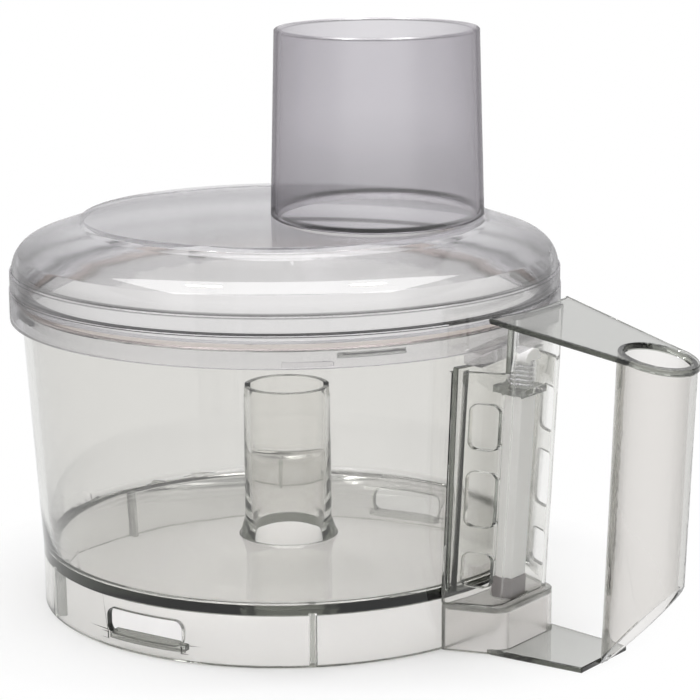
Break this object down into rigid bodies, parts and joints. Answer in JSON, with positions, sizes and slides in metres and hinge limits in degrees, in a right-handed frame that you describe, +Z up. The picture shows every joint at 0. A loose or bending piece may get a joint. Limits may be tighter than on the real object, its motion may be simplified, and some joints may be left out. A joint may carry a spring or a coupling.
{
  "type": "food processor bowl",
  "caption": "Clear food processor bowl with spindle tube, hollow side grip, domed lid with oval feed chute, and a sprung safety push rod worked by turning the lid.",
  "frame": {"origin": "on the bowl's axis, in the plane that the skirt stands on", "axes": "+Z up along the bowl's axis, +X towards the grip"},
  "size_m": [0.2583, 0.1906, 0.198],
  "materials": {
    "clear_grey": "clear, faint warm grey",
    "clear_lilac": "clear, faint lilac grey",
    "white_plastic": "satin white",
    "dark_plastic": "satin dark grey",
    "spring_steel": "bright wire",
    "seal_rubber": "soft brown, slightly see-through"
  },
  "bodies": {
    "bowl": {"bowl": "clear_grey", "interlock_housing": "clear_grey", "switch_socket": "clear_grey", "upper_bridge": "clear_grey", "lower_bridge": "clear_grey", "grip": "clear_grey", "return_spring": "spring_steel"},
    "push_rod": {"push_rod": "white_plastic", "rod_cap": "white_plastic", "rod_foot": "dark_plastic"},
    "lid_seal": {"lid_seal": "seal_rubber"},
    "lid": {"lid": "clear_lilac", "feed_chute": "clear_lilac"}
  },
  "joints": [
    {"name": "lid_lift", "type": "slide", "parent": "bowl", "child": "lid_seal", "axis": [0, 0, 1], "range_m": [0, 0.08]},
    {"name": "lid_twist", "type": "hinge", "parent": "lid_seal", "child": "lid", "pos_m": [0, 0, 0.1056], "axis": [0, 0, 1], "range_deg": [0, 12]},
    {"name": "rod_press", "type": "slide", "parent": "bowl", "child": "push_rod", "axis": [-0.0584, 0, -0.9983], "range_m": [0, 0.0031], "stiffness_N_per_m": 600, "springref_m": -0.002, "deforming": ["return_spring"]}
  ],
  "couplings": [
    {"joint": "rod_press", "follows": "lid_twist", "m_per_rad": 0.014324}
  ]
}
